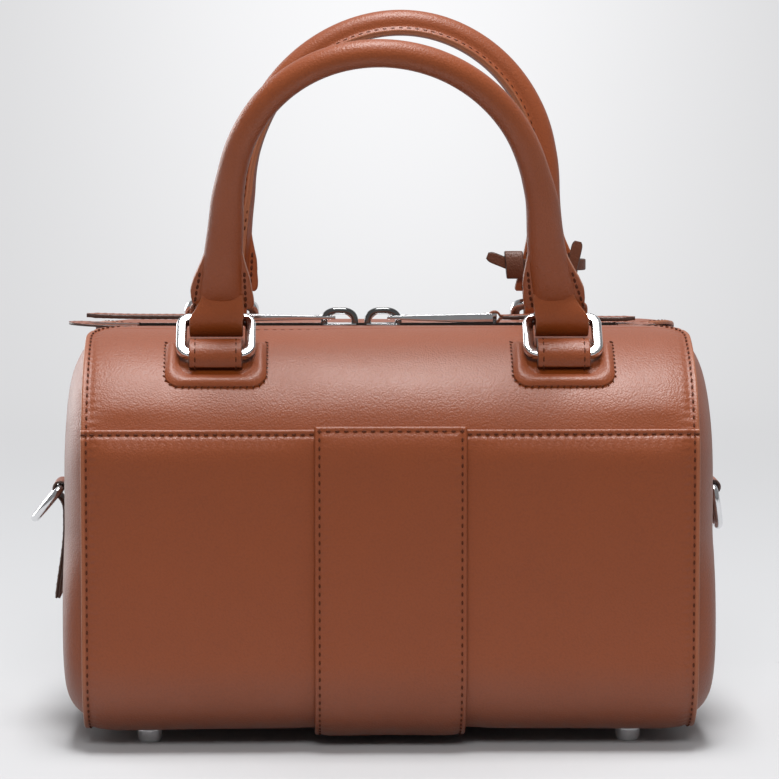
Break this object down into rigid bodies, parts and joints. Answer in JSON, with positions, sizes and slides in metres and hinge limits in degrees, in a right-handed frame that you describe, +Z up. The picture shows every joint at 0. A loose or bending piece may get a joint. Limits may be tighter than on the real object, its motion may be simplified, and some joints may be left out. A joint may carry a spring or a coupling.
{
  "type": "bowling bag",
  "caption": "Small barrel-shaped leather bowling bag that stands on metal feet, with rolled handles on square rings, a zipped top with long pulls and a ring tab at each end.",
  "frame": {"origin": "middle of the flat underside of the centre band, between the feet", "axes": "+X to the bag's right as seen from the front, along the zip; +Y from the front to the back; +Z up. The feet reach 1.9 mm below the origin."},
  "size_m": [0.2712, 0.1749, 0.2776],
  "materials": {
    "leather": "smooth semi-gloss tan-brown calf leather",
    "strap_leather": "smooth brown leather with painted edges",
    "lining": "plain woven dark brown cotton",
    "zip_tape": "dark brown woven tape",
    "board": "pressed fibre board",
    "core_cord": "twisted cotton cord",
    "polished_metal": "polished silver plating"
  },
  "bodies": {
    "bag": {"front_upper_panel": "leather", "back_upper_panel": "leather", "lower_wrap_panel": "leather", "centre_band": "leather", "body_stiffener": "board", "base_board": "board", "lining_wrap": "lining", "right_end_panel": "leather", "left_end_panel": "leather", "right_end_lining": "lining", "left_end_lining": "lining", "front_left_foot": "polished_metal", "front_right_foot": "polished_metal", "rear_left_foot": "polished_metal", "rear_right_foot": "polished_metal", "front_left_foot_washer": "polished_metal", "front_right_foot_washer": "polished_metal", "rear_left_foot_washer": "polished_metal", "rear_right_foot_washer": "polished_metal", "front_left_ring_patch": "leather", "front_right_ring_patch": "leather", "rear_left_ring_patch": "leather", "rear_right_ring_patch": "leather", "front_left_ring_loop": "strap_leather", "front_right_ring_loop": "strap_leather", "rear_left_ring_loop": "strap_leather", "rear_right_ring_loop": "strap_leather", "front_zip_tape": "zip_tape", "back_zip_tape": "zip_tape", "front_zip_teeth": "polished_metal", "back_zip_teeth": "polished_metal", "left_zip_end_tab": "strap_leather", "right_zip_end_tab": "strap_leather", "right_side_tab": "strap_leather", "left_side_tab": "strap_leather"},
    "front_left_ring": {"front_left_ring": "polished_metal"},
    "front_right_ring": {"front_right_ring": "polished_metal"},
    "front_handle": {"front_handle_cover": "leather", "front_handle_core": "core_cord"},
    "rear_left_ring": {"rear_left_ring": "polished_metal"},
    "rear_right_ring": {"rear_right_ring": "polished_metal"},
    "rear_handle": {"rear_handle_cover": "leather", "rear_handle_core": "core_cord", "rear_handle_lace": "strap_leather"},
    "left_slider": {"left_zip_slider": "polished_metal"},
    "left_pull": {"left_zip_pull": "polished_metal"},
    "left_strap": {"left_pull_strap": "strap_leather"},
    "right_slider": {"right_zip_slider": "polished_metal"},
    "right_pull": {"right_zip_pull": "polished_metal"},
    "right_strap": {"right_pull_strap": "strap_leather"},
    "left_side_ring": {"left_side_ring": "polished_metal"},
    "right_side_ring": {"right_side_ring": "polished_metal"}
  },
  "joints": [
    {"name": "front_left_ring_hinge", "type": "hinge", "parent": "bag", "child": "front_left_ring", "pos_m": [-0.0655, -0.05628, 0.14589], "axis": [1, 0, 0], "range_deg": [-6, 100]},
    {"name": "front_right_ring_hinge", "type": "hinge", "parent": "bag", "child": "front_right_ring", "pos_m": [0.0655, -0.05628, 0.14589], "axis": [1, 0, 0], "range_deg": [-6, 100]},
    {"name": "front_handle_hinge", "type": "hinge", "parent": "front_left_ring", "child": "front_handle", "pos_m": [-0.0655, -0.04311, 0.15817], "axis": [1, 0, 0], "range_deg": [-36, 40]},
    {"name": "rear_left_ring_hinge", "type": "hinge", "parent": "bag", "child": "rear_left_ring", "pos_m": [-0.0655, 0.05628, 0.14589], "axis": [1, 0, 0], "range_deg": [-100, 6]},
    {"name": "rear_right_ring_hinge", "type": "hinge", "parent": "bag", "child": "rear_right_ring", "pos_m": [0.0655, 0.05628, 0.14589], "axis": [1, 0, 0], "range_deg": [-100, 6]},
    {"name": "rear_handle_hinge", "type": "hinge", "parent": "rear_left_ring", "child": "rear_handle", "pos_m": [-0.0655, 0.04311, 0.15817], "axis": [1, 0, 0], "range_deg": [-65, 11]},
    {"name": "left_slider_slide", "type": "slide", "parent": "bag", "child": "left_slider", "axis": [-1, 0, 0], "range_m": [0, 0.07]},
    {"name": "left_pull_hinge", "type": "hinge", "parent": "left_slider", "child": "left_pull", "pos_m": [-0.0209, 0, 0.1559], "axis": [0, 1, 0], "range_deg": [0, 80]},
    {"name": "left_strap_hinge", "type": "hinge", "parent": "left_pull", "child": "left_strap", "pos_m": [-0.0621, 0, 0.1559], "axis": [0, 1, 0], "range_deg": [0, 25]},
    {"name": "right_slider_slide", "type": "slide", "parent": "bag", "child": "right_slider", "axis": [1, 0, 0], "range_m": [0, 0.083]},
    {"name": "right_pull_hinge", "type": "hinge", "parent": "right_slider", "child": "right_pull", "pos_m": [0.0009, 0, 0.1559], "axis": [0, -1, 0], "range_deg": [0, 80]},
    {"name": "right_strap_hinge", "type": "hinge", "parent": "right_pull", "child": "right_strap", "pos_m": [0.0421, 0, 0.1559], "axis": [0, -1, 0], "range_deg": [0, 25]},
    {"name": "left_side_ring_hinge", "type": "hinge", "parent": "bag", "child": "left_side_ring", "pos_m": [-0.1274, 0, 0.0897], "axis": [0, 1, 0], "range_deg": [-28, 110]},
    {"name": "right_side_ring_hinge", "type": "hinge", "parent": "bag", "child": "right_side_ring", "pos_m": [0.1274, 0, 0.0897], "axis": [0, -1, 0], "range_deg": [0, 130]}
  ],
  "couplings": [
    {"joint": "front_right_ring_hinge", "follows": "front_left_ring_hinge", "ratio": 1},
    {"joint": "rear_right_ring_hinge", "follows": "rear_left_ring_hinge", "ratio": 1}
  ]
}
